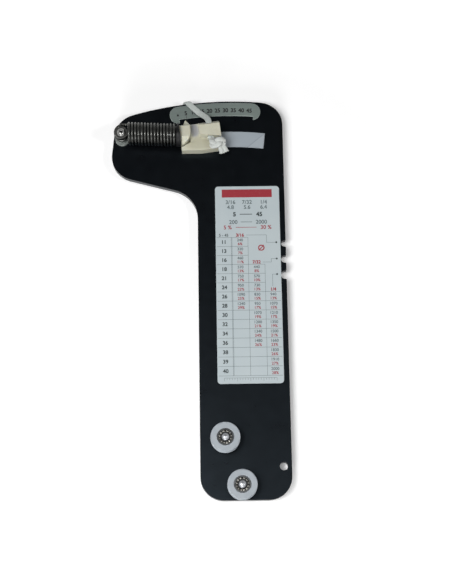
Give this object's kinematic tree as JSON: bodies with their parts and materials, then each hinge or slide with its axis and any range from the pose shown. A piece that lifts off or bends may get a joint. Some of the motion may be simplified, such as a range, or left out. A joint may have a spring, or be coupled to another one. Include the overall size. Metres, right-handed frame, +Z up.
{
  "type": "cable tension gauge",
  "caption": "Hand-held gauge for wire cable: a cable bent over grooved wheels pulls a sprung hook block along a curved scale on an L-shaped plate.",
  "frame": {"origin": "middle of the gauge's outline, on the surface that the nuts of its back stand on", "axes": "+Z up off the face with the scale, +Y from the wheels towards the head, +X to the notched edge"},
  "size_m": [0.1362, 0.3205, 0.0307],
  "materials": {
    "plate": "black anodised, satin",
    "scale": "grey-green satin, black print",
    "label": "pale printed film",
    "strip": "pale low-friction tape",
    "nylon": "cream nylon, lightly stained",
    "tyre_plastic": "pale grey nylon",
    "plug": "black moulded plastic",
    "spring_steel": "oiled dark spring wire",
    "dark_steel": "dull zinc",
    "steel": "zinc plated",
    "bright_steel": "polished",
    "bearing_steel": "ground",
    "ball_steel": "polished",
    "braid": "off-white braided cord, flattened"
  },
  "bodies": {
    "gauge": {"body_plate": "plate", "scale_plate": "scale", "chart_label": "label", "slide_strip": "strip", "anchor_sleeve": "dark_steel", "anchor_cap": "steel", "anchor_screw": "bright_steel", "spring": "spring_steel", "anchor_washer": "steel", "anchor_nut": "steel", "upper_inner_race": "bearing_steel", "upper_spacer": "dark_steel", "upper_axle": "bright_steel", "upper_washer": "steel", "upper_nut": "steel", "lower_inner_race": "bearing_steel", "lower_spacer": "dark_steel", "lower_axle": "bright_steel", "lower_washer": "steel", "lower_nut": "steel", "lanyard_back": "braid", "lanyard_hank": "braid", "hank_tie": "braid", "lanyard_end_knot": "braid"},
    "drawbar": {"hook_block": "nylon", "spring_plug": "plug", "plug_screw": "steel", "lanyard_knot": "braid", "lanyard_front": "braid"},
    "upper_wheel": {"upper_tyre": "tyre_plastic", "upper_outer_race": "bearing_steel"},
    "upper_ball_set": {"upper_balls": "ball_steel"},
    "lower_wheel": {"lower_tyre": "tyre_plastic", "lower_outer_race": "bearing_steel"},
    "lower_ball_set": {"lower_balls": "ball_steel"}
  },
  "joints": [
    {"name": "drawbar_swing", "type": "hinge", "parent": "gauge", "child": "drawbar", "pos_m": [0.025, -0.1134, 0.02116], "axis": [0, 0, -1], "range_deg": [0, 11.5], "stiffness_Nm_per_rad": 5, "deforming": ["spring", "lanyard_back"]},
    {"name": "upper_wheel_spin", "type": "hinge", "parent": "gauge", "child": "upper_wheel", "pos_m": [0.0185, -0.1139, 0.02216], "axis": [0, 0, 1], "continuous": true},
    {"name": "upper_ball_set_spin", "type": "hinge", "parent": "gauge", "child": "upper_ball_set", "pos_m": [0.0185, -0.1139, 0.02216], "axis": [0, 0, 1], "continuous": true},
    {"name": "lower_wheel_spin", "type": "hinge", "parent": "gauge", "child": "lower_wheel", "pos_m": [0.0305, -0.149, 0.02216], "axis": [0, 0, 1], "continuous": true},
    {"name": "lower_ball_set_spin", "type": "hinge", "parent": "gauge", "child": "lower_ball_set", "pos_m": [0.0305, -0.149, 0.02216], "axis": [0, 0, 1], "continuous": true}
  ],
  "couplings": [
    {"joint": "upper_ball_set_spin", "follows": "upper_wheel_spin", "ratio": 0.625},
    {"joint": "lower_ball_set_spin", "follows": "lower_wheel_spin", "ratio": 0.625}
  ]
}
